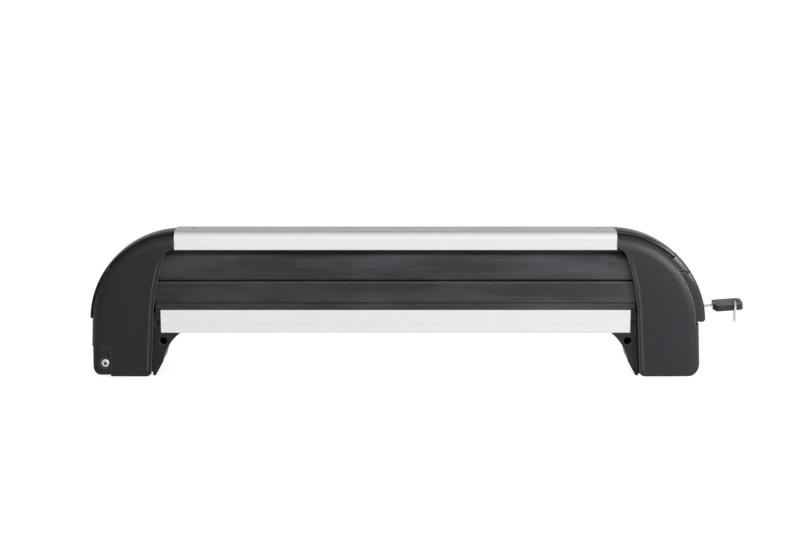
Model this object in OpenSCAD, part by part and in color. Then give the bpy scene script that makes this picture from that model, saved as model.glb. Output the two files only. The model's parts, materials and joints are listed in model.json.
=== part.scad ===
// Ski carrier for a roof bar: two clamping rails between moulded end housings.
// Origin: middle of the T-slot mouth on the underside of the lower rail.
// +X runs along the rails towards the lock, -Y faces the front, +Z is up.

/* [Rails] */
// Half length of the lower rail
lower_half = 291; // [240:1:400]
// Half length of the upper rail
upper_half = 272.2; // [221.2:1:381.2]
// Depth of both rails, front to back
rail_depth = 49; // [46:1:56]
// Height of the lower rail
lower_h = 30; // [30:0.5:32]
// Underside of the upper rail above the origin
upper_z = 105.8; // [105.8:0.1:106.4]
// Height of the upper rail
upper_h = 21.7; // [21.5:0.1:22]
// Radius of the upper rail's long top edges
shoulder_r = 10.5; // [9:0.5:11]
// Wall thickness of the rails
rail_wall = 2.2; // [1.8:0.1:2.4]
// Distance from the centre to each countersunk rail screw
rail_screw_x = 250; // [240:1:262]

/* [Slots] */
// Width of the T-slot mouth under the lower rail
tslot_mouth = 11; // [8:0.5:11]
// Width of the T-slot channel
tslot_w = 23; // [19:0.5:23]
// Depth of the T-slot channel above its lips
tslot_h = 8; // [6:0.5:8]
// Thickness of the T-slot lips
tslot_lip = 3; // [2.5:0.5:3]
// Width of the mouth that holds a pad's foot
pad_mouth = 8; // [7:0.5:9]

/* [Pads] */
// Front to back size of the rubber pads
pad_depth = 48; // [40:1:48]
// Height where the two pads meet
seam_z = 66.4; // [66:0.05:69]
// Gap left between the closed pads
seam_gap = 0.9; // [0.4:0.1:1]
// Radius along the pads' meeting edges
pad_r = 3; // [1:0.5:5]

/* [End housings] */
// How far the feet reach below the lower rail
foot_drop = 54.5; // [52:0.5:56]
// Half the front to back size of the housings
housing_half = 29; // [29:0.5:31]
// Radius of the housings' outer curve
outer_r = 110.8; // [110:0.1:112]
// Radius along the housings' long outer edges
housing_edge = 16; // [15:0.5:16]
// Radius of the slight crown on the housings' side faces
crown_r = 600; // [600:50:1200]
// Wall thickness of the housings
shell = 3; // [2:0.5:3]
// Outward lean of the housings' end walls, degrees
wall_lean = 3; // [1:0.5:4]
// Radius of the housings' curved inner edges
inner_edge_r = 265; // [250:5:280]

/* [Covers] */
// Half the width of the glossy cover strips
cover_half = 15.5; // [13:0.5:16]
// How far the hinge side cover stands off its housing
cover_t = 3.7; // [3:0.1:4.5]
// Outer radius of the latch side cover and paddle
paddle_r = 118; // [117:0.5:119]
// Half depth of the paddle's flanks
flank_half = 24; // [22:0.5:24.5]

/* [Hinge] */
// Hinge bolt, distance from the centre
hinge_x = 361; // [360:0.5:362]
// Hinge bolt, height
hinge_z = -37.5; // [-38:0.5:-37]
// Hinge bolt shank diameter
bolt_d = 6; // [5:1:6]
// Radial running clearance of the turning parts
run_gap = 0.05; // [0.03:0.01:0.09]

/* [Latch] */
// Catch pin, distance from the centre
catch_x = 348; // [347.5:0.5:349]
// Catch pin, height
catch_z = 12; // [11.5:0.5:12.5]
// Catch pin diameter
catch_d = 6; // [5:0.5:6]
// Paddle pin, distance from the centre
paddle_x = 338; // [337.5:0.5:338.5]
// Paddle pin, height
paddle_z = 88.5; // [88:0.5:89]
// Paddle pin diameter
paddle_pin_d = 5; // [4:0.5:5]

/* [Lock and key] */
// Height of the lock's axis at the lock's face
lock_z = 28.3; // [28:0.1:29]
// Upward tilt of the lock's axis, degrees
lock_tilt = 4.3; // [3.5:0.1:5]
// Outer face of the lock barrel
lock_face = 383.6; // [383:0.1:384]
// Diameter of the lock barrel
barrel_d = 17; // [16:0.5:18]
// Diameter of the lock plug
plug_d = 12; // [12:0.5:12.5]
// Width of the key blade
blade_w = 9.4; // [8:0.2:9.4]
// Thickness of the key blade
blade_t = 2.4; // [1.8:0.1:2.4]
// Length of the key head
head_len = 36.6; // [34:0.2:40]
// Width of the key head
head_w = 32; // [32:1:34]
// Thickness of the key head
head_t = 8; // [7:0.5:8]
// Mean radius of the split ring
ring_r = 13; // [13:0.5:14]
// Wire diameter of the split ring
ring_wire = 1.3; // [1:0.1:1.3]

/* [Hidden] */
$fn = 64;

far = 500;                              // longer than any part, for cuts
rail_half = rail_depth / 2;
upper_top = upper_z + upper_h;
arc_x = upper_half - 5.7;               // centre of the housings' outer curve
arc_z = upper_top - outer_r - cover_t;
paddle_cx = arc_x + 1.3;                // centre of the latch side's outer curve
paddle_cz = arc_z - 2.5;
housing_z = -foot_drop + 0.2;           // housings end just above the feet

// Lower rail
pad_slot_w = 15;
pad_slot_h = 4;
cell_y = 18;                            // side cells in the lower rail
cell_w = 8.6;
port_y = 14.6;                          // screw ports in the lower rail
port_z = 21;
port_r = 2.1;
rib_r = 0.8;
rib_z = [6.4, 13.4, 20.3];

// Brackets under the rail ends
cheek_in = 19;                          // inner face of a cheek
cheek_out = 23;                         // outer face of a cheek
plate_t = 6;                            // end plate against the lower rail
claw_r = 59;                            // hollow curve of the claw
claw_x = lower_half - 59.7;
claw_z = -46.5;
claw_low = -33;                         // where the hollow curve turns into the straight toe
toe_in = lower_half + 8.2;              // the feet, from their inner to their outer edge
toe_out = lower_half + 11.7;
claw_hole_r = 5.2;
claw_hole_x = lower_half - 2.5;
claw_hole_z = -10;
hinge_ear_r = 9.5;
bush_r = 4.5;
catch_ear_r = 9;

// Housing details
bolt_seat = housing_half - 3.2;         // where the bolt head and the nut bear
boss_face = cheek_out + 1.3;            // inner face of the hinge bosses
corner_x = 354.5;                       // stepped hinge corner
corner_depth = 1.6;
crown_start = 62;                       // distance from the curve's centre where the crown starts
groove_in = 4.2;                        // shallow line that follows the housings' inner edges
groove_w = 0.8;
groove_depth = 0.5;
spigot_len = 38;
spigot_gap = 0.4;
bulkhead_t = 4;
window_half = cover_half + 0.1;
window_z = 9.4;                         // leaves room for the paddle's lower edge as it swings in
lug_in = 15.7;                          // lugs that hold the paddle pin
lug_out = 20.4;
clip_y = lug_in - 0.5;                  // paddle pin clips, inside the lugs

// Paddle
paddle_top = 47.6;                      // angle where the paddle starts
cover_end = 48.3;                       // angle where the fixed cover ends
cover_gap = 0.15;                       // between a cover and its housing
paddle_bottom = 14.5;
rib_in = 3.3;
rib_out = 7.3;
ear_r = 5.5;
hook_half = 3;
rivets = [[343.5, 76], [348, 62]];
rivet_r = 2;

// Key
key_x = 396;                            // inner end of the key head
ring_x = key_x + head_len - 8.6;
ring_hole_r = 4.9;
ring_hole_y = -2.05;
ring_yaw = -8.5;                        // how the hanging ring is turned, seen from above

// ---------- helpers ----------

// Extrudes an outline of Y and Z along X, centred
module along_x(len) { rotate([90, 0, 90]) linear_extrude(len, center = true) children(); }

// Extrudes an outline of X and Z along Y, centred
module along_y(len) { rotate([90, 0, 0]) linear_extrude(len, center = true) children(); }

// Extrudes an outline of X and Z along Y, twice, between two distances from the middle
module both_sides(from, to) {
    for (s = [-1, 1]) translate([0, s * (from + to) / 2, 0]) along_y(to - from) children();
}

// Round bar along Y
module pin_y(r, len) { rotate([90, 0, 0]) cylinder(r = r, h = len, center = true); }

// Round bar along X, starting at x = 0
module pin_x(r, len) { rotate([0, 90, 0]) cylinder(r = r, h = len); }

// Rectangle standing on y = 0 with all corners round
module round_rect(w, h, r) {
    translate([-w / 2 + r, 0]) square([w - 2 * r, h]);
    translate([-w / 2, r]) square([w, h - 2 * r]);
    for (x = [-1, 1], y = [r, h - r]) translate([x * (w / 2 - r), y]) circle(r);
}

// What a round corner leaves over: a square of side r less a quarter circle
module corner_cut(r) {
    difference() {
        square(r + 1);
        circle(r);
    }
}

// ---------- rails ----------

module upper_outline(inset) {
    r = shoulder_r - inset;
    flat = rail_half - shoulder_r;
    top = upper_top - inset;
    translate([-flat, upper_z]) square([2 * flat, top - upper_z]);
    translate([-rail_half + inset, upper_z]) square([rail_depth - 2 * inset, upper_h - shoulder_r]);
    for (s = [-1, 1]) translate([s * flat, upper_top - shoulder_r]) circle(r);
}

// Slot that a pad's foot snaps into, opening downwards at y = 0
module pad_slot(lip) {
    translate([-pad_mouth / 2, -1]) square([pad_mouth, lip + 2]);
    translate([-pad_slot_w / 2, lip]) square([pad_slot_w, pad_slot_h]);
}

cavity_z = upper_z + 9;                 // floor of the upper rail's hollow

module upper_cavity(inset) {
    intersection() {
        upper_outline(rail_wall + inset);
        translate([-far, cavity_z + inset]) square([2 * far, upper_h]);
    }
}

module lower_section() {
    lip = 2;
    difference() {
        union() {
            round_rect(rail_depth, lower_h, 2.3);
            for (s = [-1, 1], z = rib_z) translate([s * (rail_half - 0.2), z]) circle(rib_r);
        }
        translate([0, lower_h]) mirror([0, 1]) pad_slot(lip);
        translate([-tslot_mouth / 2, -1]) square([tslot_mouth, tslot_lip + 2]);
        translate([-tslot_w / 2, tslot_lip]) square([tslot_w, tslot_h]);
        translate([-tslot_w / 2, tslot_lip + tslot_h + rail_wall])
            square([tslot_w, lower_h - lip - pad_slot_h - tslot_lip - tslot_h - 2 * rail_wall]);
        for (s = [-1, 1]) difference() {
            translate([s * cell_y - cell_w / 2, rail_wall + 0.3])
                square([cell_w, lower_h - 2 * rail_wall - 0.6]);
            translate([s * port_y, port_z]) circle(4.6);
        }
        for (s = [-1, 1]) translate([s * port_y, port_z]) circle(port_r);
    }
}

module lower_rail() { color("gainsboro") along_x(2 * lower_half) lower_section(); }

module upper_section() {
    lip = 2;
    difference() {
        upper_outline(0);
        translate([0, upper_z]) pad_slot(lip);
        upper_cavity(0);
        for (s = [-1, 1]) translate([s * 16 - 6, upper_z + lip]) square([12, 5]);
    }
}

module upper_rail() {
    color("silver") difference() {
        along_x(2 * upper_half) upper_section();
        for (s = [-1, 1]) translate([s * rail_screw_x, 0, 0]) {
            translate([0, 0, upper_top - 4]) cylinder(r = 2.8, h = 5);
            translate([0, 0, upper_top - 2.7]) cylinder(r1 = 2.65, r2 = 5.45, h = 2.8);
        }
    }
}

// ---------- rubber pads ----------

pad_reach = lower_half + 12;            // half length, hidden inside the housings

module pad_foot(top) {
    translate([-pad_mouth / 2 + 0.3, -0.5]) square([pad_mouth - 0.6, 3]);
    translate([-pad_slot_w / 2 + 0.4, 2.2]) square([pad_slot_w - 0.8, pad_slot_h - 0.4]);
}

module lower_pad() {
    half = pad_depth / 2;
    top = seam_z - seam_gap / 2;
    crease = lower_h + 8.4;
    body_z = crease + 0.9;
    color("dimgray") union() {
        along_x(2 * pad_reach) difference() {
            union() {
                translate([0, body_z]) round_rect(pad_depth, top - body_z, pad_r);
                translate([-half, body_z]) square([pad_depth, 6]);
            }
            for (s = [-1, 1])
                translate([s * 11 - 8, lower_h + 12]) square([16, top - lower_h - 16]);
        }
        // set-back lip under the crease
        along_x(2 * lower_half + 12) difference() {
            translate([-half + 1.5, lower_h]) square([pad_depth - 3, 10]);
            for (s = [-1, 1])
                translate([s * half, crease + 0.3]) square([6, 1.2], center = true);
        }
        along_x(2 * lower_half) translate([0, lower_h]) mirror([0, 1]) pad_foot();
    }
}

module upper_pad() {
    half = pad_depth / 2;
    low = seam_z + seam_gap / 2;
    slope = upper_z - 14.5;
    neck = 13;
    color("dimgray") union() {
        along_x(2 * pad_reach) difference() {
            union() {
                translate([0, low]) round_rect(pad_depth, slope - low, pad_r);
                translate([0, low]) translate([-half, pad_r]) square([pad_depth, slope - low - pad_r]);
                polygon([[-half, slope - 0.01], [half, slope - 0.01], [neck + 1.5, slope + 8.7],
                    [neck, slope + 10], [neck, upper_z], [-neck, upper_z],
                    [-neck, slope + 10], [-neck - 1.5, slope + 8.7]]);
            }
            for (s = [-1, 1]) translate([s * 11 - 8, low + 4]) square([16, slope - low - 6]);
        }
        along_x(2 * upper_half) translate([0, upper_z]) pad_foot();
    }
}

// ---------- brackets under the rail ends ----------

// Side view of the claw that every bracket has, on the +X side
module claw_outline() {
    difference() {
        polygon([[claw_x, 0], [lower_half, 0], [lower_half, lower_h - 1],
            [lower_half + plate_t, lower_h - 1], [lower_half + plate_t + 4, -20],
            [toe_out, -foot_drop], [toe_in, -foot_drop],
            [lower_half - 3.5, claw_low], [claw_x, claw_low]]);
        translate([claw_x, claw_z]) circle(claw_r, $fn = 128);
    }
}

// Curved web between the cheeks
module saddle_outline() {
    intersection() {
        difference() {
            translate([claw_x, claw_z]) circle(claw_r + 3, $fn = 128);
            translate([claw_x, claw_z]) circle(claw_r, $fn = 128);
        }
        translate([claw_x + 30, claw_low - 2]) square([60, 2 - claw_low]);
    }
}

module bracket_body() {
    both_sides(cheek_in, cheek_out) claw_outline();
    along_y(2 * cheek_in + 1) saddle_outline();
    translate([lower_half, -rail_half + 0.5, 0]) cube([plate_t, rail_depth - 1, lower_h - 1]);
    // toe that joins the two feet
    along_y(2 * cheek_in + 1) polygon([[toe_in - 2.2, -foot_drop + 4],
        [toe_in, -foot_drop], [toe_out, -foot_drop], [toe_out, -foot_drop + 4]]);
}

module bracket_cuts() {
    // the T-slot stays open past the end plate
    translate([claw_x, -tslot_w / 2 - 0.7, -15]) cube([90, tslot_w + 1.4, 27]);
    // notches at the plate's edges
    for (s = [-1, 1])
        translate([lower_half + plate_t / 2, s * (rail_half - 1.5), 12.6])
            cube([plate_t + 2, 4, 8.8], center = true);
    for (s = [-1, 1]) translate([lower_half - 1, s * port_y, port_z]) pin_x(2.3, plate_t + 2);
    translate([claw_hole_x, 0, claw_hole_z]) pin_y(claw_hole_r, 60);
}

module latch_bracket() {
    color("#2b2b2d") difference() {
        union() {
            bracket_body();
            both_sides(cheek_in, cheek_out) {
                polygon([[lower_half + 1, -20], [lower_half + 1, 24], [catch_x, catch_z + catch_ear_r],
                    [catch_x + 4, catch_z - 8], [lower_half + 30, -12], [lower_half + 16, -34],
                    [lower_half + 13.5, -foot_drop + 2.5], [toe_out - 0.5, -foot_drop + 2]]);
                translate([catch_x, catch_z]) circle(catch_ear_r);
            }
        }
        bracket_cuts();
        translate([catch_x, 0, catch_z]) pin_y(catch_d / 2, 60);
    }
}

module hinge_bracket() {
    color("#2b2b2d") mirror([1, 0, 0]) difference() {
        union() {
            bracket_body();
            both_sides(cheek_in, cheek_out) {
                polygon([[lower_half + 1, 24], [lower_half + plate_t, lower_h - 4],
                    [hinge_x, hinge_z + hinge_ear_r], [hinge_x, hinge_z - hinge_ear_r],
                    [lower_half + 14, hinge_z - hinge_ear_r], [toe_out - 0.5, -foot_drop + 2]]);
                translate([hinge_x, hinge_z]) circle(hinge_ear_r);
            }
        }
        bracket_cuts();
        translate([hinge_x, 0, hinge_z]) pin_y(bush_r, 60);
    }
}

// Pan head screws through the end plate into the rail's screw ports
module bracket_screws() {
    for (s = [-1, 1]) translate([lower_half + plate_t, s * port_y, port_z]) difference() {
        union() {
            translate([-plate_t - 14, 0, 0]) pin_x(port_r, plate_t + 14);
            pin_x(3.8, 1.4);
            translate([1.4, 0, 0]) rotate([0, 90, 0]) cylinder(r1 = 3.8, r2 = 2.6, h = 1.2);
        }
        translate([1.2, 0, 0]) for (a = [0, 90]) rotate([a, 0, 0])
            translate([1, 0, 0]) cube([3, 4.4, 0.9], center = true);
    }
}

module latch_bracket_screws() { color("lightsteelblue") bracket_screws(); }

module hinge_bracket_screws() { color("lightsteelblue") mirror([1, 0, 0]) bracket_screws(); }

module hinge_bushes() {
    color("ivory") translate([-hinge_x, 0, hinge_z]) for (s = [-1, 1])
        translate([0, s * (cheek_in + cheek_out) / 2, 0]) difference() {
            pin_y(bush_r, cheek_out - cheek_in);
            pin_y(bolt_d / 2 + run_gap, 10);
        }
}

module catch_pin() {
    groove = cheek_out + 0.9;
    color("silver") translate([catch_x, 0, catch_z]) difference() {
        pin_y(catch_d / 2, 2 * groove + 2.4);
        for (s = [-1, 1]) translate([0, s * groove, 0]) difference() {
            pin_y(catch_d, 0.8);
            pin_y(catch_d / 2 - 0.7, 1);
        }
    }
}

// Open spring clip in a pin's groove
module clip(groove_r, t) {
    along_y(t) difference() {
        circle(groove_r + 2.2);
        circle(groove_r);
        translate([-groove_r * 0.75, 0]) square([groove_r * 1.5, 20]);
    }
}

module catch_pin_clips() {
    color("slategray") for (s = [-1, 1])
        translate([catch_x, s * (cheek_out + 0.9), catch_z]) clip(catch_d / 2 - 0.68, 0.7);
}

// ---------- end housings ----------

// Section of a housing, inset from its outside: distance from the curve's centre against depth.
// Its sides are flat, then slightly crowned, and end in round edges.
edge_r0 = outer_r - housing_edge;       // centre of the round edges
crown_y0 = housing_half - crown_r;      // centre of the crown
edge_y0 = crown_y0 + sqrt(pow(crown_r - housing_edge, 2) - pow(edge_r0 - crown_start, 2));

module shell_section(inset) {
    half = housing_half - inset;
    reach = (crown_r + 5) / (crown_r - housing_edge);
    translate([0, -half]) square([crown_start, 2 * half]);
    translate([0, -edge_y0]) square([outer_r - inset, 2 * edge_y0]);
    for (s = [-1, 1]) scale([1, s]) {
        translate([edge_r0, edge_y0]) circle(housing_edge - inset);
        intersection() {
            translate([crown_start, crown_y0]) circle(crown_r - inset, $fn = 1440);
            polygon([[crown_start - 0.01, 0], [crown_start - 0.01, housing_half + 5],
                [crown_start + reach * (edge_r0 - crown_start), crown_y0 + reach * (edge_y0 - crown_y0)],
                [edge_r0, edge_y0], [edge_r0, 0]]);
        }
    }
}

// The curved end and the leaning wall under it
module shell_volume(inset) {
    run = arc_z + foot_drop + 30;
    translate([arc_x, 0, arc_z]) {
        rotate([90, 0, 0]) rotate([0, 0, wall_lean])
            rotate_extrude(angle = 90 - wall_lean, $fn = 180) shell_section(inset);
        rotate([0, -wall_lean, 0]) translate([0, 0, -run])
            linear_extrude(run) shell_section(inset);
    }
}

edge_top = upper_z - 1.5;               // where the inner edge leaves its curve
edge_low = 21;                          // where the curve turns into the straight lower edge
edge_x = lower_half + 8.5;

edge_cx = edge_x - inner_edge_r * cos(2.5);  // centre of the curved inner edge
edge_cz = edge_low - inner_edge_r * sin(2.5);
edge_slant = 4.6;                       // how far the straight lower edge leans out

// Shallow line that follows the inner edge on both side faces
module edge_groove() {
    from = edge_x + groove_in;
    both_sides(housing_half - groove_depth, housing_half + 1) {
        intersection() {
            difference() {
                translate([edge_cx, edge_cz]) circle(inner_edge_r + groove_in + groove_w, $fn = 360);
                translate([edge_cx, edge_cz]) circle(inner_edge_r + groove_in, $fn = 360);
            }
            translate([0, edge_low]) square([far, edge_top - 3 - edge_low]);
        }
        polygon([[from, edge_low], [from + groove_w, edge_low],
            [from + groove_w + edge_slant, -foot_drop + 8], [from + edge_slant, -foot_drop + 8]]);
    }
}

// Side view of a housing, open towards the outer curve
module housing_outline(bottom_r) {
    foot_in = 8;
    wall_x = 380.2;
    difference() {
        translate([upper_half, housing_z]) square([140, 200]);
        // curved inner edge
        intersection() {
            translate([edge_cx, edge_cz]) circle(inner_edge_r, $fn = 360);
            translate([0, edge_low]) square([far, edge_top - edge_low]);
        }
        polygon([[0, edge_low], [edge_x, edge_low], [edge_x + edge_slant, -foot_drop], [0, -foot_drop]]);
        polygon([[0, edge_top], [upper_half + 9, edge_top], [upper_half, upper_z + 4.5], [0, 110]]);
        // round lower corners
        translate([edge_x + 3.2 + foot_in, housing_z + foot_in]) rotate(180) corner_cut(foot_in);
        translate([wall_x - bottom_r, housing_z + bottom_r]) rotate(-90) corner_cut(bottom_r);
    }
}

// Plug that slides into the upper rail
module spigot() {
    difference() {
        union() {
            translate([upper_half - spigot_len / 2, 0, 0]) along_x(spigot_len) upper_cavity(spigot_gap);
            // its root, lower than the housing's outer curve
            translate([upper_half, 0, 0]) along_x(bulkhead_t) upper_cavity(spigot_gap + 3);
        }
        translate([rail_screw_x, 0, upper_z]) cylinder(r = 2.8, h = 30);
        translate([rail_screw_x, 0, cavity_z + 2]) cube([8.4, 8.4, 4.2], center = true);
    }
}

module cover_screw_place(angle) {
    translate([arc_x, 0, arc_z]) rotate([0, -angle, 0]) translate([outer_r, 0, 0]) children();
}

module end_shell(bottom_r, screw_angles) {
    difference() {
        union() {
            difference() {
                intersection() {
                    shell_volume(0);
                    along_y(80) housing_outline(bottom_r);
                }
                intersection() {
                    shell_volume(shell);
                    along_y(80) polygon([[200, -80], [400, -80], [400, 140],
                        [upper_half + bulkhead_t, 140], [upper_half + bulkhead_t, upper_z + 0.4],
                        [200, upper_z + 0.4]]);
                }
            }
            spigot();
        }
        for (a = screw_angles) cover_screw_place(a) translate([-shell - 1, 0, 0]) pin_x(1.9, shell + 2);
        edge_groove();
    }
}

hinge_screw_angles = [24, 70];
latch_screw_angles = [58, 76];

module hinge_housing() {
    step_z = -17.5;
    step_x = 376.9;
    color("#1d1d1f") mirror([1, 0, 0]) difference() {
        union() {
            end_shell(10, hinge_screw_angles);
            translate([hinge_x, 0, hinge_z]) for (s = [-1, 1])
                translate([0, s * (boss_face + housing_half - 2) / 2, 0])
                    pin_y(8, housing_half - 2 - boss_face);
        }
        // the hinge corner is stepped in on its three open sides
        translate([step_x, -40, -80]) cube([20, 80, 80 + step_z]);
        for (s = [-1, 1]) translate([corner_x + 20, s * (housing_half - corner_depth + 5), step_z - 30])
            cube([40, 10, 60], center = true);
        translate([corner_x, -40, -foot_drop]) cube([40, 80, 2]);
        translate([step_x - 10, 0, -foot_drop + 12]) along_y(80) rotate(-90) corner_cut(10);
        // bolt hole with a seat at each end
        translate([hinge_x, 0, hinge_z]) {
            pin_y(bolt_d / 2 + 0.2, 80);
            for (s = [-1, 1]) translate([0, s * (bolt_seat + 5), 0]) pin_y(6.8, 10);
        }
    }
}

module paddle_lug() {
    difference() {
        union() {
            translate([paddle_x, paddle_z]) circle(6);
            intersection() {
                polygon([[paddle_x - 6, paddle_z], [paddle_x + 6, paddle_z],
                    [paddle_x + 8, paddle_z + 20], [paddle_x - 14, paddle_z + 20]]);
                translate([arc_x, arc_z]) circle(outer_r - 1, $fn = 128);
            }
        }
        translate([paddle_x, paddle_z]) circle(paddle_pin_d / 2);
    }
}

module latch_housing() {
    color("#1d1d1f") difference() {
        union() {
            end_shell(16, latch_screw_angles);
            intersection() {
                both_sides(lug_in, lug_out) paddle_lug();
                shell_volume(1);
            }
        }
        // window behind the paddle
        translate([333, -window_half, window_z]) cube([80, 2 * window_half, 120]);
        translate([333, -flank_half - 0.2, window_z])
            cube([80, 2 * flank_half + 0.4, flank_top + 0.8 - window_z]);
        translate([paddle_x, 0, paddle_z]) pin_y(paddle_pin_d / 2, 2 * lug_out + 0.4);
    }
}

// ---------- covers ----------

module hinge_cover() {
    tip = 3;
    color("#0a0a0b") mirror([1, 0, 0]) difference() {
        along_y(2 * cover_half) difference() {
            intersection() {
                translate([arc_x, arc_z]) circle(outer_r + cover_t, $fn = 180);
                translate([upper_half, arc_z + 4]) square(200);
            }
            translate([arc_x, arc_z]) circle(outer_r + cover_gap, $fn = 180);
            translate([arc_x + outer_r + cover_t - tip, arc_z + 4 + tip])
                rotate(-90) corner_cut(tip);
        }
        for (a = hinge_screw_angles) cover_screw_place(a) pin_x(1.6, 2.4);
    }
}

// Wedge of the latch side's outer curve between two angles
module paddle_band(from, to) {
    intersection() {
        translate([paddle_cx, paddle_cz]) circle(paddle_r, $fn = 180);
        translate([paddle_cx, paddle_cz]) polygon([[0, 0], [far * cos(from), far * sin(from)],
            [far * cos((from + to) / 2), far * sin((from + to) / 2)], [far * cos(to), far * sin(to)]]);
    }
}

module latch_cover() {
    color("#0a0a0b") difference() {
        along_y(2 * cover_half) difference() {
            paddle_band(cover_end, 90);
            translate([arc_x, arc_z]) circle(outer_r + cover_gap, $fn = 180);
            square([upper_half, 200]);
        }
        for (a = latch_screw_angles) cover_screw_place(a) pin_x(1.6, 2.4);
    }
}

// Pan head screws from inside a housing into its cover
module cover_screws(angles) {
    for (a = angles) cover_screw_place(a) difference() {
        union() {
            translate([-shell - 0.2, 0, 0]) pin_x(1.55, shell + 2.4);
            translate([-shell - 2.2, 0, 0]) pin_x(3, 2);
        }
        for (b = [0, 90]) rotate([b, 0, 0])
            translate([-shell - 2, 0, 0]) cube([2, 3.6, 0.7], center = true);
    }
}

module hinge_cover_screws() { color("slategray") mirror([1, 0, 0]) cover_screws(hinge_screw_angles); }

module latch_cover_screws() { color("slategray") cover_screws(latch_screw_angles); }

// ---------- fasteners of the arm ----------

module rail_screws() {
    color("silver") for (s = [-1, 1]) translate([s * rail_screw_x, 0, 0]) difference() {
        union() {
            translate([0, 0, cavity_z + 0.3]) cylinder(r = 2.5, h = upper_top - 2.6 - cavity_z);
            translate([0, 0, upper_top - 2.75]) cylinder(r1 = 2.5, r2 = 5.15, h = 2.65);
        }
        translate([0, 0, upper_top - 2]) cylinder(r = 1.75, h = 4, $fn = 6);
    }
}

module rail_nuts() {
    color("slategray") for (s = [-1, 1]) translate([s * rail_screw_x, 0, cavity_z + 2]) difference() {
        cube([8, 8, 3.2], center = true);
        cylinder(r = 2.5, h = 10, center = true);
    }
}

module hinge_bolt() {
    head_h = 2.9;
    color("silver") translate([-hinge_x, 0, hinge_z]) rotate([90, 0, 0]) difference() {
        union() {
            translate([0, 0, -bolt_seat - 3.7]) cylinder(r = bolt_d / 2, h = 2 * bolt_seat + 3.7);
            translate([0, 0, bolt_seat]) rotate_extrude() intersection() {
                translate([0, -4.4]) circle(7.7);
                square([5.2, head_h]);
            }
        }
        translate([0, 0, bolt_seat + 0.9]) cylinder(r = 2.3, h = 5, $fn = 6);
    }
}

module hinge_nut() {
    color("silver") translate([-hinge_x, bolt_seat, hinge_z]) rotate([-90, 0, 0]) difference() {
        intersection() {
            cylinder(r = 5.77, h = 3.2, $fn = 6);
            cylinder(r1 = 7.2, r2 = 5.3, h = 3.2);
        }
        translate([0, 0, -1]) cylinder(r = bolt_d / 2, h = 6);
    }
}

module hinge_washers() {
    gap = 0.1;
    color("ivory") for (s = [-1, 1])
        translate([-hinge_x, s * (cheek_out + boss_face) / 2, hinge_z]) difference() {
            pin_y(7.5, boss_face - cheek_out - 2 * gap);
            pin_y(bolt_d / 2 + 0.15, 4);
        }
}

// ---------- release paddle, hook and lock ----------

// Tilts what is drawn along a level lock axis to the lock's own
module in_lock() {
    translate([lock_face, 0, lock_z]) rotate([0, -lock_tilt, 0]) translate([-lock_face, 0, -lock_z]) children();
}

flank_top = 78.5;                       // where the paddle's flanks start to widen
flank_dip = 0.8;                        // how far they reach into the housing's window
flank_full = 77.6;                      // and where they reach their full depth

module paddle_outline() {
    tip = 5;
    outer = paddle_cx + sqrt(pow(paddle_r, 2) - pow(paddle_bottom + tip - paddle_cz, 2));
    difference() {
        paddle_band(1, paddle_top);
        square([far, paddle_bottom]);
        translate([outer - tip, paddle_bottom + tip]) rotate(-90) corner_cut(tip);
    }
}

// The paddle's outside, down past the housing's round shoulders into its window
module paddle_body() {
    difference() {
        intersection() {
            along_y(2 * flank_half) paddle_outline();
            along_x(2 * far) polygon([[-flank_half, 0], [flank_half, 0], [flank_half, flank_full],
                [cover_half, flank_top], [cover_half, 130], [-cover_half, 130],
                [-cover_half, flank_top], [-flank_half, flank_full]]);
        }
        shell_volume(flank_dip);
    }
}

module release_paddle() {
    skin = 2.7;
    boss_x = lock_face - 19.6;
    color("#0a0a0b") difference() {
        union() {
            difference() {
                paddle_body();
                // hollow back between two flanks
                along_y(2 * flank_half - 6) intersection() {
                    translate([paddle_cx, paddle_cz]) circle(paddle_r - skin, $fn = 180);
                    translate([300, paddle_bottom + 4]) square([100, flank_full - paddle_bottom - 8]);
                }
                along_y(2 * cover_half - 6) intersection() {
                    translate([paddle_cx, paddle_cz]) circle(paddle_r - skin, $fn = 180);
                    translate([300, paddle_bottom + 4]) square([100, 70]);
                }
            }
            both_sides(rib_in, rib_out) {
                translate([paddle_x, paddle_z]) circle(ear_r);
                polygon([[paddle_x - 3, paddle_z - 4], [paddle_x + 2, paddle_z + 4.5],
                    [352, 90], [366, 72], [371, 60], [352, 55], [340, 68]]);
            }
            intersection() {
                in_lock() translate([boss_x, 0, lock_z]) pin_x(barrel_d / 2 + 2.5, 40);
                along_y(40) translate([paddle_cx, paddle_cz]) circle(paddle_r - 1, $fn = 180);
            }
        }
        translate([paddle_x, 0, paddle_z]) pin_y(paddle_pin_d / 2 + run_gap, 40);
        in_lock() translate([boss_x - 5, 0, lock_z]) pin_x(barrel_d / 2, 60);
        for (p = rivets) translate([p[0], 0, p[1]]) pin_y(rivet_r, 40);
    }
}

module latch_hook() {
    nose_top = catch_z - catch_d / 2 - 0.3;
    nose_tip = catch_x + 3.3;
    shank = catch_x - catch_d / 2 - 1.7;
    color("silver") difference() {
        along_y(2 * hook_half) union() {
            translate([paddle_x, paddle_z]) circle(ear_r);
            polygon([[paddle_x - ear_r, paddle_z], [shank - 8.8, nose_top - 2], [shank - 6, nose_top - 6],
                [nose_tip - 4, nose_top - 6], [nose_tip, nose_top - 2.4], [nose_tip, nose_top],
                [shank, nose_top], [shank, 50], [353, 57], [350, 68], [paddle_x + ear_r, 82],
                [paddle_x + ear_r, paddle_z]]);
        }
        translate([paddle_x, 0, paddle_z]) pin_y(paddle_pin_d / 2 + run_gap, 40);
        for (p = rivets) translate([p[0], 0, p[1]]) pin_y(rivet_r, 40);
    }
}

module hook_rivets() {
    color("silver") for (p = rivets) translate([p[0], 0, p[1]]) {
        pin_y(rivet_r, 2 * rib_out);
        for (s = [-1, 1]) translate([0, s * (rib_out + 0.6), 0]) pin_y(3.2, 1.2);
    }
}

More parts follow.
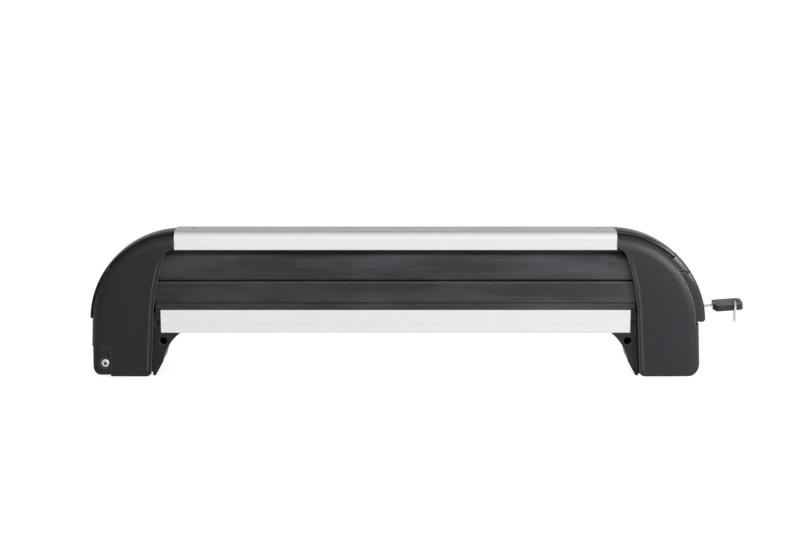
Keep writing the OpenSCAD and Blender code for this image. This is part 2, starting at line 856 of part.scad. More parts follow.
module paddle_pin() {
    color("silver") translate([paddle_x, 0, paddle_z]) difference() {
        pin_y(paddle_pin_d / 2, 2 * lug_out + 0.2);
        for (s = [-1, 1]) translate([0, s * clip_y, 0]) difference() {
            pin_y(paddle_pin_d, 0.8);
            pin_y(paddle_pin_d / 2 - 0.6, 1);
        }
    }
}

module paddle_pin_clips() {
    color("slategray") for (s = [-1, 1])
        translate([paddle_x, s * clip_y, paddle_z]) clip(paddle_pin_d / 2 - 0.58, 0.7);
}

// Torsion spring: straight leg, coil, straight leg
spring_turns = 4.3;
spring_r = 3.6;
spring_wire = 0.55;
spring_pitch = 1.35;
spring_y = 8.1;
spring_start = -35;
spring_steps = 96;
function coil_point(t) = let (a = spring_start + 360 * spring_turns * t)
    [paddle_x + spring_r * cos(a), spring_y + spring_pitch * spring_turns * t, paddle_z + spring_r * sin(a)];
spring_end = spring_start + 360 * spring_turns;
function leg(a, len, dir) = [dir * sin(a) * -len, 0, dir * cos(a) * len];
spring_path = concat(
    [coil_point(0) + leg(spring_start, 13, -1)],
    [for (i = [0 : spring_steps]) coil_point(i / spring_steps)],
    [coil_point(1) + leg(spring_end, 11, 1)]);

// Round wire along a path that lies close to planes of constant y
module wire(path, r, sides = 8) {
    n = len(path);
    function unit(v) = v / norm(v);
    function tangent(i) = unit(path[min(i + 1, n - 1)] - path[max(i - 1, 0)]);
    points = [for (i = [0 : n - 1]) let (t = tangent(i), side = unit(cross(t, [0, 1, 0])), up = cross(side, t))
        for (k = [0 : sides - 1]) path[i] + r * (cos(360 * k / sides) * side + sin(360 * k / sides) * up)];
    faces = concat(
        [[for (k = [0 : sides - 1]) k]],
        [for (i = [0 : n - 2], k = [0 : sides - 1])
            [i * sides + k, (i + 1) * sides + k, (i + 1) * sides + (k + 1) % sides, i * sides + (k + 1) % sides]],
        [[for (k = [sides - 1 : -1 : 0]) (n - 1) * sides + k]]);
    polyhedron(points, faces, convexity = 10);
}

module paddle_spring() { color("silver") wire(spring_path, spring_wire); }

module lock_barrel() {
    color("silver") in_lock() translate([lock_face - 22, 0, lock_z]) difference() {
        pin_x(barrel_d / 2, 22);
        translate([-1, 0, 0]) pin_x(plug_d / 2 + run_gap, 24);
        translate([20.8, 0, 0]) difference() {
            pin_x(barrel_d, 3);
            rotate([0, 90, 0]) cylinder(r1 = barrel_d / 2, r2 = barrel_d / 2 - 1.2, h = 1.3);
        }
    }
}

module barrel_nut() {
    color("slategray") in_lock() translate([lock_face - 22, 0, lock_z]) difference() {
        rotate([0, 90, 0]) cylinder(r = barrel_d / 2 + 3.2, h = 2.4, $fn = 6);
        translate([-1, 0, 0]) pin_x(barrel_d / 2, 5);
    }
}

module lock_plug() {
    inner = lock_face - 22.6;
    color("lightgray") in_lock() difference() {
        translate([inner, 0, lock_z]) pin_x(plug_d / 2, lock_face - inner + 0.3);
        // keyway
        translate([inner + 1.5, -blade_w / 2 - 0.2, lock_z - blade_t / 2 - 0.2])
            cube([40, blade_w + 0.4, blade_t + 0.4]);
        translate([inner - 1, 0, lock_z]) pin_x(1.25, 2.6);
    }
}

module lock_cam() {
    x0 = lock_face - 25.6;
    color("silver") in_lock() translate([x0, 0, lock_z]) difference() {
        union() {
            pin_x(plug_d / 2, 3);
            translate([0, -4, 0]) cube([3, 8, 11]);
            translate([0, 0, 11]) pin_x(4, 3);
        }
        translate([-1, 0, 0]) pin_x(1.45, 5);
    }
}

module cam_screw() {
    x0 = lock_face - 25.6;
    color("slategray") in_lock() translate([x0, 0, lock_z]) difference() {
        union() {
            translate([-2, 0, 0]) pin_x(2.8, 2);
            translate([-0.5, 0, 0]) pin_x(1.25, 4.9);
        }
        for (b = [0, 90]) rotate([b, 0, 0]) translate([-2, 0, 0]) cube([2, 3.4, 0.7], center = true);
    }
}

module key_blade() {
    tip = lock_face - 20.6;
    len = key_x + 12 - tip;
    bits = [3.5, 6.5, 9.5, 12.5, 15.5];
    depths = [1.4, 0.8, 1.8, 1.1, 0.6];
    color("gainsboro") in_lock() translate([0, 0, lock_z - blade_t / 2]) linear_extrude(blade_t) difference() {
        polygon([[tip, -1.4], [tip + 2.6, -blade_w / 2], [tip + len, -blade_w / 2],
            [tip + len, blade_w / 2], [tip + 2.6, blade_w / 2], [tip, 1.4]]);
        for (i = [0 : len(bits) - 1], s = [-1, 1]) translate([tip + bits[i], s * blade_w / 2])
            polygon([[-0.8 - depths[i], 0.01 * s], [-0.8, -s * depths[i]], [0.8, -s * depths[i]],
                [0.8 + depths[i], 0.01 * s]]);
    }
}

module key_head() {
    r = 7;
    x1 = key_x + head_len;
    color("#111113") in_lock() difference() {
        translate([0, 0, lock_z - head_t / 2]) linear_extrude(head_t) difference() {
            union() {
                translate([key_x + r, -head_w / 2]) square([head_len - 2 * r, head_w]);
                translate([key_x, -head_w / 2 + r]) square([head_len, head_w - 2 * r]);
                for (x = [key_x + r, x1 - r], s = [-1, 1]) translate([x, s * (head_w / 2 - r)]) circle(r);
            }
            // shallow waist beside the blade
            for (s = [-1, 1]) translate([key_x, s * 10]) circle(3.4);
            translate([ring_x, ring_hole_y]) circle(ring_hole_r);
        }
        // slot that the blade is moulded into
        translate([key_x - 1, -blade_w / 2, lock_z - blade_t / 2]) cube([13, blade_w, blade_t]);
    }
}

module key_ring() {
    arm = ring_x - lock_face;
    color("silver") translate([lock_face + arm * cos(lock_tilt), ring_hole_y, lock_z + arm * sin(lock_tilt)])
        rotate([0, 0, ring_yaw]) translate([0, -9.28, -7.13]) rotate([0, 90, 0])
        for (s = [-1, 1]) translate([0, 0, s * 0.48 * ring_wire])
            rotate_extrude($fn = 96) translate([ring_r, 0]) circle(ring_wire / 2, $fn = 24);
}

lower_rail();
lower_pad();
hinge_bracket();
latch_bracket();
hinge_bracket_screws();
latch_bracket_screws();
hinge_bushes();
catch_pin();
catch_pin_clips();
upper_rail();
upper_pad();
hinge_housing();
latch_housing();
hinge_cover();
latch_cover();
hinge_cover_screws();
latch_cover_screws();
rail_screws();
rail_nuts();
hinge_bolt();
hinge_nut();
hinge_washers();
paddle_pin();
paddle_pin_clips();
paddle_spring();
release_paddle();
latch_hook();
hook_rivets();
lock_barrel();
barrel_nut();
lock_plug();
lock_cam();
cam_screw();
key_blade();
key_head();
key_ring();
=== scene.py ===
import json
import math

import bmesh
import bpy
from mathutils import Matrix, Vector, noise


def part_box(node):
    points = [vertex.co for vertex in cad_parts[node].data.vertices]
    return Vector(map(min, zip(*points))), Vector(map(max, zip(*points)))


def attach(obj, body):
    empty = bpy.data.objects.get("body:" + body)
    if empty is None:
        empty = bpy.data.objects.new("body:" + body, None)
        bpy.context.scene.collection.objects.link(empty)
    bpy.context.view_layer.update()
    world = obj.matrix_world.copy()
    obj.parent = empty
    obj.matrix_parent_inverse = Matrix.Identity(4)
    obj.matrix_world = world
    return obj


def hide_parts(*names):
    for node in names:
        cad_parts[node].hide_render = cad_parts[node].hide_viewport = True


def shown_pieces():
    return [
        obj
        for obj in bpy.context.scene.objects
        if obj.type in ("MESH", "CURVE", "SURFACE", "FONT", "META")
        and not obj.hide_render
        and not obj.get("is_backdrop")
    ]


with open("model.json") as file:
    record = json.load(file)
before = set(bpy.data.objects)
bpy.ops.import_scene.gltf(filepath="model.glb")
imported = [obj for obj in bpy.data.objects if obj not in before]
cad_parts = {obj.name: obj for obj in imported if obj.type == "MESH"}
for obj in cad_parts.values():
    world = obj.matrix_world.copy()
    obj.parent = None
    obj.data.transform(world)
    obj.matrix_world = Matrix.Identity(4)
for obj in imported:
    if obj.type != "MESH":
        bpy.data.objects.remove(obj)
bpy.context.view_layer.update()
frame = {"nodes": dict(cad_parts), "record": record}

NODES = frame["nodes"]
BODY_OF = {n: b for b, ns in frame["record"]["behaviour"]["bodies"].items() for n in ns}
SLOT_OF = {s["node"]: s["material_slot"] for s in frame["record"]["subparts"]}

# All lengths are metres.
MERGE = 2e-6                        # vertices nearer than this become one
ON_PLANE = 1e-6                     # a vertex this near a cutting plane lies on it
FLAT = math.radians(0.4)            # faces turned by less than this are one plane
EDGE_MASK_FROM, EDGE_MASK_FULL = 0.995, 0.875  # cosines between the true and the rounded normal where the edge mask starts and where it is full


# ---------- material helpers ----------

class Shader:
    """A Principled material and short ways to add nodes to it."""

    def __init__(self, name, **values):
        self.mat = bpy.data.materials.new(name)
        self.mat.use_nodes = True
        self.tree = self.mat.node_tree
        self.tree.nodes.clear()
        out = self.node("ShaderNodeOutputMaterial")
        self.bsdf = self.node("ShaderNodeBsdfPrincipled")
        self.link(self.bsdf, 0, out, 0)
        for key, value in values.items():
            self.bsdf.inputs[key.replace("_", " ")].default_value = value
        self.mat.metallic = values.get("Metallic", 0.0)
        self.coord = self.node("ShaderNodeTexCoord")
        self.height = None

    def node(self, kind, **props):
        n = self.tree.nodes.new(kind)
        for key, value in props.items():
            setattr(n, key, value)
        return n

    def link(self, a, i, b, j):
        self.tree.links.new(a.outputs[i], b.inputs[j])

    def noise(self, scale, detail=3.0, rough=0.55, distort=0.0, shift=0.0):
        """Noise over object coordinates. scale is one number or one for each axis, in cells per metre."""
        scale = (scale,) * 3 if isinstance(scale, (int, float)) else scale
        m = self.node("ShaderNodeMapping")
        m.inputs["Scale"].default_value = scale
        m.inputs["Location"].default_value = (shift, shift * 0.7, -shift)
        self.link(self.coord, "Object", m, "Vector")
        n = self.node("ShaderNodeTexNoise")
        n.inputs["Scale"].default_value = 1.0
        n.inputs["Detail"].default_value = detail
        n.inputs["Roughness"].default_value = rough
        n.inputs["Distortion"].default_value = distort
        self.link(m, 0, n, "Vector")
        return n.outputs[0]

    def voronoi(self, scale):
        """Distance from the nearest of the points scattered at that many cells per metre."""
        v = self.node("ShaderNodeTexVoronoi", feature="F1")
        v.inputs["Scale"].default_value = scale
        self.link(self.coord, "Object", v, "Vector")
        return v.outputs["Distance"]

    def remap(self, value, a, b, c, d, smooth=False):
        """Takes a..b to c..d and holds the ends."""
        r = self.node("ShaderNodeMapRange", clamp=True)
        if smooth:
            r.interpolation_type = "SMOOTHSTEP"
        for i, x in enumerate((a, b, c, d), 1):
            r.inputs[i].default_value = x
        self.tree.links.new(value, r.inputs[0])
        return r.outputs[0]

    def math(self, op, a, b):
        """A sum, product or the like of two numbers or sockets."""
        m = self.node("ShaderNodeMath", operation=op)
        for i, x in enumerate((a, b)):
            if isinstance(x, (int, float)):
                m.inputs[i].default_value = x
            else:
                self.tree.links.new(x, m.inputs[i])
        return m.outputs[0]

    def mix(self, factor, a, b):
        """A colour between a and b, which are colours or sockets."""
        m = self.node("ShaderNodeMix", data_type="RGBA")
        self.tree.links.new(factor, m.inputs[0])
        for i, x in ((6, a), (7, b)):
            if isinstance(x, tuple):
                m.inputs[i].default_value = (*x, 1.0)
            else:
                self.tree.links.new(x, m.inputs[i])
        return m.outputs[2]

    def edges(self, radius):
        """1 at convex edges and 0 on open faces."""
        b = self.node("ShaderNodeBevel", samples=4)
        b.inputs["Radius"].default_value = radius
        g = self.node("ShaderNodeNewGeometry")
        d = self.node("ShaderNodeVectorMath", operation="DOT_PRODUCT")
        self.link(b, 0, d, 0)
        self.link(g, "Normal", d, 1)
        return self.remap(d.outputs["Value"], EDGE_MASK_FROM, EDGE_MASK_FULL, 0.0, 1.0)

    def bump(self, value, distance, strength=1.0):
        """Adds a height to the surface, on top of any before it."""
        b = self.node("ShaderNodeBump")
        b.inputs["Strength"].default_value = strength
        b.inputs["Distance"].default_value = distance
        self.tree.links.new(value, b.inputs["Height"])
        if self.height is not None:
            self.tree.links.new(self.height, b.inputs["Normal"])
        self.height = b.outputs[0]
        return self

    def set(self, name, socket):
        self.tree.links.new(socket, self.bsdf.inputs[name])

    def done(self):
        """Joins the height to the surface and gives the material."""
        if self.height is not None:
            self.tree.links.new(self.height, self.bsdf.inputs["Normal"])
        return self.mat


def aluminium():
    """Drawn and anodised: fine lines along X, soft clouds, edges a little paler."""
    s = Shader("anodised aluminium", Metallic=1.0)
    lines = s.noise((6, 1500, 1500), 3)
    wide = s.noise((1.2, 90, 90), 2, shift=3)
    cloud = s.noise(14, 4, 0.6, shift=9)
    edge_mask = s.edges(0.0009)
    tone = s.mix(s.remap(wide, 0.3, 0.7, 0, 1), (0.66, 0.67, 0.69), (0.72, 0.725, 0.735))
    s.set("Base Color", s.mix(edge_mask, tone, (0.86, 0.86, 0.86)))
    rough = s.math("ADD", s.remap(lines, 0.3, 0.7, 0.27, 0.37), s.remap(cloud, 0.35, 0.7, -0.03, 0.06))
    s.set("Roughness", s.math("SUBTRACT", rough, s.math("MULTIPLY", edge_mask, 0.06)))
    s.bump(lines, 0.000012).bump(s.noise((30, 400, 400), 2, shift=5), 0.00002)
    return s.done()


def rubber():
    """Extruded and dull: streaks along X, grain, pale bloom and scuffs."""
    s = Shader("matte rubber", Specular_IOR_Level=0.13)
    grain = s.noise(2600, 4, 0.6)
    streak = s.noise((5, 520, 520), 3, 0.6, shift=2)
    cloud = s.noise((9, 34, 34), 4, 0.6, shift=6)
    scuff = s.remap(s.noise((26, 260, 260), 5, 0.7, 1.0, shift=4), 0.62, 0.76, 0.0, 0.55, True)
    bloom = s.math("ADD", s.remap(cloud, 0.4, 0.72, 0, 0.45), s.math("MULTIPLY", scuff, 0.8))
    tone = s.mix(s.remap(streak, 0.35, 0.7, 0, 1), (0.0072, 0.0074, 0.0084), (0.0120, 0.0123, 0.0137))
    s.set("Base Color", s.mix(bloom, tone, (0.030, 0.031, 0.034)))
    s.set("Roughness", s.math("ADD", s.remap(streak, 0.3, 0.7, 0.43, 0.53),
                              s.remap(cloud, 0.3, 0.7, -0.03, 0.07)))
    s.bump(streak, 0.00005).bump(grain, 0.00003, 0.8)
    return s.done()


def textured(name, cell, depth, tone, rough, shine, edge_wear_and_highlight):
    """Black moulding with a spark-eroded texture of that cell size and depth. shine is its reflectivity, and
    the last number how pale its convex edges are painted: partly wear, partly a painted highlight where they
    catch the light."""
    s = Shader(name, Specular_IOR_Level=shine)
    pits = s.noise(1.0 / cell, 3, 0.62)
    fine = s.noise(2.3 / cell, 2, 0.5, shift=4)
    cloud = s.noise(11, 4, 0.6, shift=8)
    edge_mask = s.edges(0.0012)
    base = s.mix(s.remap(pits, 0.42, 0.66, 0, 1), tone, tuple(c * 1.75 for c in tone))
    base = s.mix(s.remap(cloud, 0.45, 0.75, 0, 0.5), base, tuple(c * 1.6 for c in tone))
    # convex edges painted pale: partly wear, partly a painted highlight along the rounded edges
    s.set("Base Color", s.mix(s.math("MULTIPLY", edge_mask, 0.6), base, (edge_wear_and_highlight, edge_wear_and_highlight, edge_wear_and_highlight * 1.06)))
    r = s.math("ADD", s.remap(pits, 0.35, 0.65, rough - 0.05, rough + 0.07),
               s.remap(cloud, 0.3, 0.7, -0.03, 0.03))
    s.set("Roughness", s.math("SUBTRACT", r, s.math("MULTIPLY", edge_mask, 0.08)))
    s.bump(pits, depth).bump(fine, depth * 0.35)
    return s.done()


def gloss(name, tone, rough, shine):
    """Polished black moulding with a little dust and a few fine hairline scratches."""
    s = Shader(name, Specular_IOR_Level=shine)
    haze = s.noise(60, 4, 0.6, shift=3)
    hair = s.remap(s.noise((900, 60, 900), 3, 0.6, 2.0, shift=1), 0.66, 0.72, 0.0, 1.0)
    dust = s.remap(s.voronoi(420), 0.02, 0.05, 1.0, 0.0)
    dust = s.math("MULTIPLY", dust, s.remap(haze, 0.52, 0.62, 0, 1))
    s.set("Base Color", s.mix(s.math("MULTIPLY", dust, 0.5), tone, (0.07, 0.07, 0.075)))
    s.set("Roughness", s.math("ADD", s.remap(haze, 0.35, 0.7, rough, rough + 0.06),
                              s.math("MULTIPLY", hair, 0.10)))
    s.bump(s.noise(45, 2, 0.4, shift=5), 0.00006).bump(hair, 0.000004)
    return s.done()


def metal(name, tone, rough):
    """Plated steel with fine lines and slight stains."""
    s = Shader(name, Metallic=1.0)
    lines = s.noise(1800, 3)
    stain = s.noise(160, 4, 0.65, shift=7)
    edge_mask = s.edges(0.0004)
    base = s.mix(s.remap(stain, 0.4, 0.72, 0, 0.6), tone, tuple(c * 0.72 for c in tone))
    s.set("Base Color", s.mix(edge_mask, base, tuple(min(1, c * 1.15) for c in tone)))
    s.set("Roughness", s.math("ADD", s.remap(lines, 0.3, 0.7, rough - 0.04, rough + 0.06),
                              s.remap(stain, 0.4, 0.7, 0.0, 0.08)))
    s.bump(lines, 0.000008).bump(stain, 0.00002)
    return s.done()


def bolt_steel(centre, socket):
    """The hinge bolt: a bright head whose socket, of that radius, is painted near black as painted shade in
    the recess.
    """
    s = Shader("bolt steel", Metallic=1.0)
    split = s.node("ShaderNodeSeparateXYZ")
    s.link(s.coord, "Object", split, 0)
    dx = s.math("SUBTRACT", split.outputs["X"], centre.x)
    dz = s.math("SUBTRACT", split.outputs["Z"], centre.z)
    away = s.math("SQRT", s.math("ADD", s.math("MULTIPLY", dx, dx), s.math("MULTIPLY", dz, dz)), 0.0)
    stain = s.noise(420, 4, 0.65, shift=7)
    head = s.mix(s.remap(stain, 0.4, 0.7, 0, 1), (0.60, 0.60, 0.61), (0.44, 0.44, 0.45))
    # within the socket's radius the colour is painted near black: painted shade inside the recess
    s.set("Base Color", s.mix(s.remap(away, socket * 0.85, socket * 1.05, 1, 0), head, (0.09, 0.09, 0.095)))
    s.set("Roughness", s.remap(stain, 0.3, 0.7, 0.20, 0.34))
    s.bump(s.noise(1500, 3), 0.00001)
    return s.done()


def nylon():
    """Cream and slightly see-through, for the bushes."""
    s = Shader("natural nylon", Subsurface_Weight=0.2, Subsurface_Scale=0.002)
    cloud = s.noise(420, 3)
    s.set("Base Color", s.mix(s.remap(cloud, 0.3, 0.7, 0, 1), (0.70, 0.68, 0.61), (0.80, 0.78, 0.71)))
    s.set("Roughness", s.remap(cloud, 0.3, 0.7, 0.34, 0.46))
    s.bump(s.noise(2200, 2), 0.00001)
    return s.done()


MATS = {
    "rail_aluminium": aluminium(),
    "pad_rubber": rubber(),
    # each moulding's last number paints its convex edges pale, partly as wear and partly as a painted
    # highlight
    "bracket_plastic": textured("bracket moulding", cell=0.0007, depth=0.00002, tone=(0.0050, 0.0050, 0.0056),
                                rough=0.36, shine=0.10, edge_wear_and_highlight=0.050),
    "housing_plastic": textured("housing moulding", cell=0.0013, depth=0.00030, tone=(0.0046, 0.0048, 0.0058),
                                rough=0.42, shine=0.13, edge_wear_and_highlight=0.085),
    "gloss_black": gloss("gloss black", (0.0035, 0.0035, 0.004), rough=0.07, shine=0.15),
    "nylon": nylon(),
    "key_plastic": textured("key moulding", cell=0.0006, depth=0.00002, tone=(0.0060, 0.0060, 0.0066),
                            rough=0.26, shine=0.20, edge_wear_and_highlight=0.060),
    "nickel": metal("nickel plate", (0.74, 0.73, 0.71), rough=0.20),
    "zinc_steel": metal("zinc plate", (0.66, 0.67, 0.70), rough=0.24),
}
LEVER_TONE = (0.0105, 0.0106, 0.012)
SOCKET_RADIUS = 0.0023      # the hex socket in the hinge bolt's head; inside it the head is painted dark as painted shade


# ---------- pieces ----------

SHARP = math.radians(28)            # edges that turn by more than this are rounded
NORMAL_WEIGHT = 60                  # how far large faces rule the shading of the rounded edges
WANDER = (22, 9, 26)                # cells per metre of the soft pieces' uneven surface
ALMOST_FLUSH, NEAR_EDGE = 0.0275, 0.0012    # where a housing edge counts as its inner edge
SMALL_EDGE = 0.16                   # the other housing edges' share of the rounding


def cut(bm, at, across):
    """Cuts the whole mesh by the plane through at, square to across."""
    bmesh.ops.bisect_plane(bm, geom=bm.verts[:] + bm.edges[:] + bm.faces[:],
                           plane_co=at, plane_no=across, dist=ON_PLANE)


def refined(node, name, width=0.0004, segments=2, weight=None, slices=0.0, wobble=0.0, reshape=None):
    """A finer piece from a CAD node: planar faces made whole, edges rounded by width, and, for soft parts,
    cut into slices along X whose surface wanders by wobble. weight(point) gives an edge's share of width,
    and reshape(bmesh) moves the points first."""
    bm = bmesh.new()
    bm.from_mesh(NODES[node].data)
    bmesh.ops.remove_doubles(bm, verts=bm.verts, dist=MERGE)
    bmesh.ops.dissolve_limit(bm, angle_limit=FLAT, verts=bm.verts, edges=bm.edges)
    if slices:
        lo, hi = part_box(node)
        x = lo.x + slices
        while x < hi.x - slices / 2:
            cut(bm, (x, 0, 0), (1, 0, 0))
            x += slices
        for v in bm.verts:
            p = v.co
            n = noise.noise(Vector(a * b for a, b in zip(p, WANDER)))
            v.co.y -= math.copysign(wobble * (0.5 + 0.5 * n), p.y)
    if reshape:
        reshape(bm)
    layer = bm.edges.layers.float.new("bevel_weight_edge")
    for e in bm.edges:
        if len(e.link_faces) == 2 and e.calc_face_angle(0) > SHARP:
            e[layer] = weight((e.verts[0].co + e.verts[1].co) / 2) if weight else 1.0
    mesh = bpy.data.meshes.new(name)
    bm.to_mesh(mesh)
    bm.free()
    for p in mesh.polygons:
        p.use_smooth = True
    o = bpy.data.objects.new(name, mesh)
    bpy.context.scene.collection.objects.link(o)
    b = o.modifiers.new("round", "BEVEL")
    b.limit_method, b.width, b.segments = "WEIGHT", width, segments
    b.harden_normals = True
    b.use_clamp_overlap = True
    b.miter_outer = "MITER_ARC"
    w = o.modifiers.new("normals", "WEIGHTED_NORMAL")
    w.weight = NORMAL_WEIGHT
    w.keep_sharp = False
    o.data.materials.append(MATS[SLOT_OF[node]])
    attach(o, BODY_OF[node])
    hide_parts(node)
    return o


CLAW_DROP = 0.0545                          # how far the claws hang below the lower rail
EDGE_LOW_Z, EDGE_FOOT_Z = 0.021, -CLAW_DROP     # the housings' inner edge: where its curve ends, its foot
EDGE_LOW_X, EDGE_FOOT_X = 0.2995, 0.3041    # and how far out it is at both
EDGE_RADIUS, EDGE_TILT = 0.265, math.radians(2.5)


def inner_edge(z):
    """How far from the middle the housings' inner edge is at height z."""
    if z < EDGE_LOW_Z:
        return EDGE_LOW_X + (EDGE_FOOT_X - EDGE_LOW_X) * (EDGE_LOW_Z - z) / (EDGE_LOW_Z - EDGE_FOOT_Z)
    dz = z - EDGE_LOW_Z + EDGE_RADIUS * math.sin(EDGE_TILT)
    return EDGE_LOW_X - EDGE_RADIUS * math.cos(EDGE_TILT) + math.sqrt(max(0.0, EDGE_RADIUS ** 2 - dz ** 2))


def housing_weight(p):
    """The long curved inner edge has a broad roll; the other edges are small."""
    at_edge = abs(p.y) > ALMOST_FLUSH and abs(abs(p.x) - inner_edge(p.z)) < NEAR_EDGE
    return 1.0 if at_edge else SMALL_EDGE


CROWN_STEP = 0.0015     # between the cuts that let a band's crown bend
ROLL_STEP = 15          # degrees between the cuts that let its outer edge turn
ABOVE_ALL = 1.0         # a height over the whole part


def rolled(cx, cz, radius, half, crown, edge, widest):
    """Crowns a band that bends round an axis along Y through (cx, cz), and rounds its long outer edges by
    edge. half(z) is its half depth at that height, and widest the largest of them."""
    def reshape(bm):
        planes = [CROWN_STEP * k for k in range(1, int(widest / CROWN_STEP))]
        for h in {half(ABOVE_ALL), widest}:
            planes += [h - edge * (1 - math.sin(math.radians(ROLL_STEP * k))) for k in range(90 // ROLL_STEP)]
        for y in sorted(planes):
            for side in (-1, 1):
                cut(bm, (0, side * y, 0), (0, 1, 0))
        for v in bm.verts:
            r = math.hypot(v.co.x - cx, v.co.z - cz)
            h = half(v.co.z)
            past = min(edge, max(0.0, abs(v.co.y) - h + edge))
            limit = radius - crown * min(1.0, abs(v.co.y) / h) ** 2 - edge + math.sqrt(edge ** 2 - past ** 2)
            if r > limit:
                v.co.x = cx + (v.co.x - cx) * limit / r
                v.co.z = cz + (v.co.z - cz) * limit / r
    return reshape


COVER_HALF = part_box("latch_cover")[1].y
FLANK_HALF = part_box("release_paddle")[1].y
FLANK_TOP = 0.0783                          # the paddle is wider below this height
ARC_X, ARC_Z = 0.2665, 0.013                # the centre that the hinge cover bends round, on the other side
PADDLE_CX, PADDLE_CZ = ARC_X + 0.0013, ARC_Z - 0.0025   # and that of the latch cover and the paddle
COVER_R, PADDLE_R = 0.1145, 0.118
CROWN = 0.0012                              # how much lower the bands are at their sides


def cover_half(z):
    return COVER_HALF


def paddle_half(z):
    return FLANK_HALF if z < FLANK_TOP else COVER_HALF


for node in ("hinge_housing", "latch_housing"):
    refined(node, node + "_shell", width=0.0018, segments=4, weight=housing_weight)
refined("hinge_cover", "hinge_cover_strip", width=0.0004,
        reshape=rolled(-ARC_X, ARC_Z, COVER_R, cover_half, CROWN, 0.0016, COVER_HALF))
refined("latch_cover", "latch_cover_strip", width=0.0004,
        reshape=rolled(PADDLE_CX, PADDLE_CZ, PADDLE_R, cover_half, CROWN, 0.0022, COVER_HALF))
lever = refined("release_paddle", "release_paddle_lever", width=0.0005,
                reshape=rolled(PADDLE_CX, PADDLE_CZ, PADDLE_R, paddle_half, CROWN, 0.0050, FLANK_HALF))
lever.data.materials[0] = gloss("satin lever", LEVER_TONE, rough=0.18, shine=0.15)
for node in ("hinge_bracket", "latch_bracket"):
    refined(node, node + "_claw", width=0.0007, segments=3)
refined("upper_rail", "upper_rail_profile", width=0.0003)
refined("lower_rail", "lower_rail_profile", width=0.0003)
for node in ("lower_pad", "upper_pad"):
    pad = refined(node, node + "_rubber", width=0.0009, segments=3, slices=0.006, wobble=0.00015)
refined("key_head", "key_head_grip", width=0.0014, segments=4)
bolt = refined("hinge_bolt", "hinge_bolt_steel", width=0.0002, segments=2)
bolt_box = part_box("hinge_bolt")
bolt.data.materials[0] = bolt_steel((bolt_box[0] + bolt_box[1]) / 2, SOCKET_RADIUS)
refined("lock_barrel", "lock_barrel_face", width=0.0002)

# The CAD nodes that no finer piece stands for are seen themselves.
for n, o in NODES.items():
    if o.hide_render:
        continue
    o.data.materials.clear()
    o.data.materials.append(MATS[SLOT_OF[n]])


# ---------- floor, light and camera ----------

STUDIO = [  # the light's strength by its angle round X: 0 is the back, 90 overhead, 180 the front
    (0, 0.66), (14, 0.62), (27, 0.40), (43, 0.47), (72, 0.74),
    (102, 1.06), (132, 1.26), (162, 1.26), (180, 1.15)]
SIDE_SLOPE = 0.5        # how much brighter it is from +X, and darker from -X
FLOOR_HALF, FLOOR_CELLS = 14.0, 8
GLOW_SPAN = 0.9         # the floor's own light grows over this distance on both sides of the middle
METALLIC = 0.5          # a material more metallic than this is a metal, which the softboxes don't light
LENS, SENSOR, FAR = 83.7, 36.0, 60
CAMERA_AT, CAMERA_TILT = (0.0055, -2.2607, 0.5801), 77.5


def pale_floor():
    """White card with a glow of its own, which is a little stronger towards +X."""
    s = Shader("pale floor", Roughness=0.6, Specular_IOR_Level=0.2)
    cloud = s.noise(3, 3)
    s.set("Base Color", s.mix(s.remap(cloud, 0.3, 0.7, 0, 1), (0.24, 0.24, 0.24), (0.26, 0.26, 0.26)))
    s.bsdf.inputs["Emission Color"].default_value = (1, 1, 1, 1)
    split = s.node("ShaderNodeSeparateXYZ")
    s.link(s.coord, "Object", split, 0)
    s.set("Emission Strength", s.remap(split.outputs["X"], -GLOW_SPAN, GLOW_SPAN, 0.80, 0.95))
    return s.done()


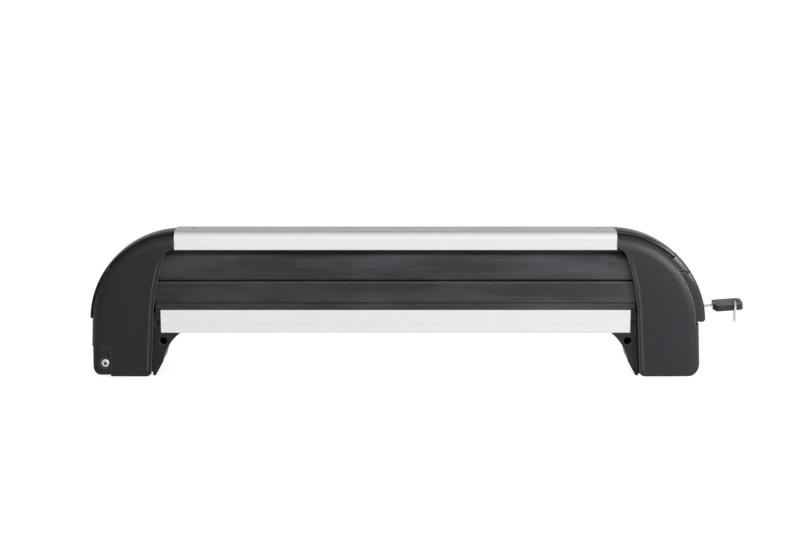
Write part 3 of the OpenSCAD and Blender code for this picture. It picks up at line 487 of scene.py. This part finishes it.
FLOOR_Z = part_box("lower_rail")[0].z - CLAW_DROP
mesh = bpy.data.meshes.new("floor")
row = FLOOR_CELLS + 1
verts = [(FLOOR_HALF * (2 * i / FLOOR_CELLS - 1), FLOOR_HALF * (2 * j / FLOOR_CELLS - 1), FLOOR_Z)
         for j in range(row) for i in range(row)]
faces = [(j * row + i, j * row + i + 1, (j + 1) * row + i + 1, (j + 1) * row + i)
         for j in range(FLOOR_CELLS) for i in range(FLOOR_CELLS)]
mesh.from_pydata(verts, [], faces)
floor = bpy.data.objects.new("floor", mesh)
bpy.context.scene.collection.objects.link(floor)
mesh.materials.append(pale_floor())
floor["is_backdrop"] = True


def studio_world():
    """The studio's light by the angle round X, from the back (0) over the top to the front (180 degrees), and
    a little brighter towards +X."""
    world = bpy.data.worlds.new("studio")
    bpy.context.scene.world = world
    world.use_nodes = True
    tree = world.node_tree
    tree.nodes.clear()

    def add(kind, **props):
        n = tree.nodes.new(kind)
        for key, value in props.items():
            setattr(n, key, value)
        return n

    out = add("ShaderNodeOutputWorld")
    back = add("ShaderNodeBackground")
    coord = add("ShaderNodeTexCoord")
    split = add("ShaderNodeSeparateXYZ")
    turn = add("ShaderNodeMath", operation="ARCTAN2")
    side = add("ShaderNodeMapRange")
    span = add("ShaderNodeMapRange")
    curve = add("ShaderNodeValToRGB")
    tint = add("ShaderNodeVectorMath", operation="SCALE")
    link = tree.links.new
    link(coord.outputs["Generated"], split.inputs[0])
    link(split.outputs["Z"], turn.inputs[0])
    link(split.outputs["Y"], turn.inputs[1])
    link(turn.outputs[0], span.inputs[0])
    for i, x in enumerate((0.0, math.pi, 0.0, 1.0), 1):
        span.inputs[i].default_value = x
    link(span.outputs[0], curve.inputs[0])
    link(split.outputs["X"], side.inputs[0])
    for i, x in enumerate((-1.0, 1.0, 1 - SIDE_SLOPE, 1 + SIDE_SLOPE), 1):
        side.inputs[i].default_value = x
    link(curve.outputs[0], tint.inputs[0])
    link(side.outputs[0], tint.inputs["Scale"])
    link(tint.outputs[0], back.inputs[0])
    link(back.outputs[0], out.inputs[0])
    stops = curve.color_ramp.elements
    while len(stops) > 1:
        stops.remove(stops[-1])
    for i, (angle, value) in enumerate(STUDIO):
        e = stops[0] if i == 0 else stops.new(angle / 180)
        e.position = angle / 180
        e.color = (value, value, value, 1)


studio_world()
dark_pieces = bpy.data.collections.new("dark_pieces")
bpy.context.scene.collection.children.link(dark_pieces)
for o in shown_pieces():
    if o.data.materials[0].metallic < METALLIC and o.data.materials[0] != MATS["nylon"]:
        dark_pieces.objects.link(o)


def softbox(name, place, aim, size, power):
    """An unseen white area lamp that lights the dark pieces only. size is its width and height."""
    lamp = bpy.data.lights.new(name, "AREA")
    lamp.shape, lamp.size, lamp.size_y = "RECTANGLE", size[0], size[1]
    lamp.energy = power
    o = bpy.data.objects.new(name, lamp)
    o.location = place
    o.rotation_euler = (Vector(aim) - Vector(place)).to_track_quat("-Z", "Y").to_euler()
    o.visible_camera = False
    bpy.context.scene.collection.objects.link(o)
    o.light_linking.receiver_collection = dark_pieces


softbox("front_top", (0.35, -1.20, 1.45), (0.1, 0, 0.05), (1.6, 0.35), 38)
softbox("right_key", (1.50, -0.85, 0.75), (0.33, 0, 0.05), (0.6, 0.8), 70)
softbox("right_front", (0.95, -1.70, 0.16), (0.30, 0, 0.03), (0.4, 0.4), 14)
softbox("left_fill", (-1.45, -0.80, 1.05), (-0.33, 0, 0.05), (0.5, 0.5), 5)

cam_data = bpy.data.cameras.new("camera")
cam = bpy.data.objects.new("camera", cam_data)
bpy.context.scene.collection.objects.link(cam)
cam_data.sensor_width = SENSOR
cam_data.lens = LENS
cam_data.clip_end = FAR
cam.location = CAMERA_AT
cam.rotation_euler = (math.radians(CAMERA_TILT), 0, 0)
bpy.context.scene.camera = cam
bpy.context.scene.view_settings.view_transform = "Standard"
